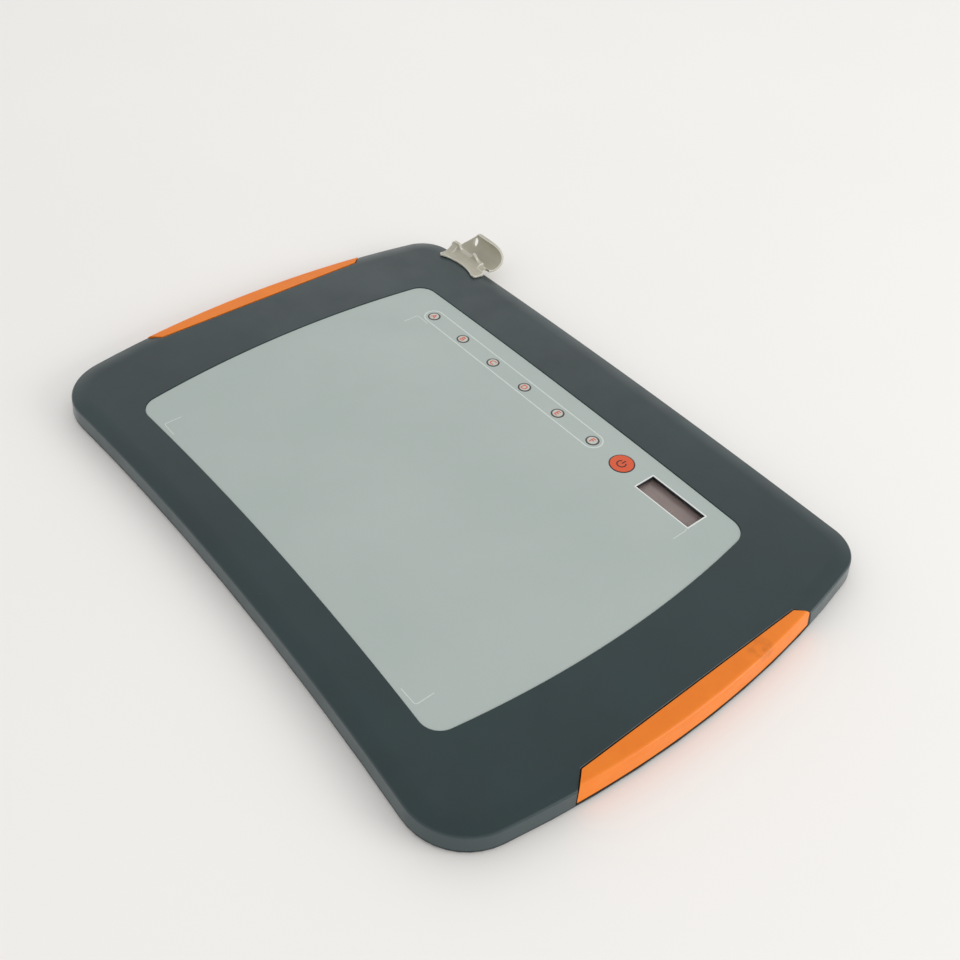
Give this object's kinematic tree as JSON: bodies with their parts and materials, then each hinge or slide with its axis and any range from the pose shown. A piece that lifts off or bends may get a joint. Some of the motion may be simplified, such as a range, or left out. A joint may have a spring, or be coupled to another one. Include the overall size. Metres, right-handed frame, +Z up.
{
  "type": "wireless writing tablet",
  "caption": "Flat wireless classroom writing tablet with round answer keys, a large key, a small display, soft end grips and a clip-on pen holder.",
  "frame": {"origin": "middle of the case at table level, on the underside of the middle foot", "axes": "+Z up out of the writing face; +X along the long side, the way the keys read; +Y to the back edge, which carries the pen holder"},
  "size_m": [0.3468, 0.2564, 0.0222],
  "materials": {
    "case_plastic": "fine satin texture",
    "cover_plastic": "fine satin texture",
    "overlay_film": "matt printed film",
    "key_film": "matt, with a printed letter",
    "main_key_film": "satin, with a printed symbol",
    "grip_rubber": "satin",
    "holder_plastic": "satin",
    "board_green": "solder mask",
    "shield_foil": "rolled sheet",
    "chip_black": "moulded",
    "can_steel": "tinned",
    "flex_amber": "polyimide film",
    "cable_black": "smooth",
    "cable_red": "smooth",
    "plug_ivory": "moulded",
    "battery_wrap": "shrink film",
    "foam_grey": "open foam",
    "dome_steel": "pressed",
    "lcd_glass": "polarised",
    "window_clear": "clear",
    "frame_white": "satin",
    "screw_steel": "blackened",
    "foot_rubber": "matt"
  },
  "bodies": {
    "case": {"top_housing": "case_plastic", "rear_cover": "cover_plastic", "face_overlay": "overlay_film", "digitizer_board": "board_green", "shield_plate": "shield_foil", "digitizer_ribbon": "flex_amber", "main_board": "board_green", "processor_chip": "chip_black", "memory_chip": "chip_black", "crystal_can": "can_steel", "radio_module": "can_steel", "antenna_cable": "cable_black", "antenna_board": "board_green", "key_domes": "dome_steel", "lcd_module": "lcd_glass", "lcd_ribbon": "flex_amber", "lcd_window": "window_clear", "lcd_frame": "frame_white", "battery_pack": "battery_wrap", "battery_pads": "foam_grey", "battery_cable": "cable_red", "battery_plug": "plug_ivory", "charge_socket": "can_steel", "power_switch": "chip_black", "left_grip": "grip_rubber", "right_grip": "grip_rubber", "case_screws": "screw_steel", "board_screws": "can_steel", "rubber_feet": "foot_rubber"},
    "battery_door": {"battery_door": "cover_plastic"},
    "power_slider": {"power_slider": "chip_black"},
    "pen_holder": {"pen_holder": "holder_plastic"},
    "main_key": {"main_key": "main_key_film"},
    "key_a": {"key_a": "key_film"},
    "key_b": {"key_b": "key_film"},
    "key_c": {"key_c": "key_film"},
    "key_d": {"key_d": "key_film"},
    "key_e": {"key_e": "key_film"},
    "key_f": {"key_f": "key_film"}
  },
  "joints": [
    {"name": "key_a_press", "type": "slide", "parent": "case", "child": "key_a", "axis": [0, 0, -1], "range_m": [0, 0.00045], "stiffness_N_per_m": 600},
    {"name": "key_b_press", "type": "slide", "parent": "case", "child": "key_b", "axis": [0, 0, -1], "range_m": [0, 0.00045], "stiffness_N_per_m": 600},
    {"name": "key_c_press", "type": "slide", "parent": "case", "child": "key_c", "axis": [0, 0, -1], "range_m": [0, 0.00045], "stiffness_N_per_m": 600},
    {"name": "key_d_press", "type": "slide", "parent": "case", "child": "key_d", "axis": [0, 0, -1], "range_m": [0, 0.00045], "stiffness_N_per_m": 600},
    {"name": "key_e_press", "type": "slide", "parent": "case", "child": "key_e", "axis": [0, 0, -1], "range_m": [0, 0.00045], "stiffness_N_per_m": 600},
    {"name": "key_f_press", "type": "slide", "parent": "case", "child": "key_f", "axis": [0, 0, -1], "range_m": [0, 0.00045], "stiffness_N_per_m": 600},
    {"name": "main_key_press", "type": "slide", "parent": "case", "child": "main_key", "axis": [0, 0, -1], "range_m": [0, 0.00045], "stiffness_N_per_m": 600},
    {"name": "power_slide", "type": "slide", "parent": "case", "child": "power_slider", "axis": [1, 0, 0], "range_m": [0, 0.003]},
    {"name": "door_slide", "type": "slide", "parent": "case", "child": "battery_door", "axis": [0, 1, 0], "range_m": [0, 0.03]},
    {"name": "holder_pull", "type": "slide", "parent": "case", "child": "pen_holder", "axis": [0, 1, 0], "range_m": [0, 0.008]}
  ]
}
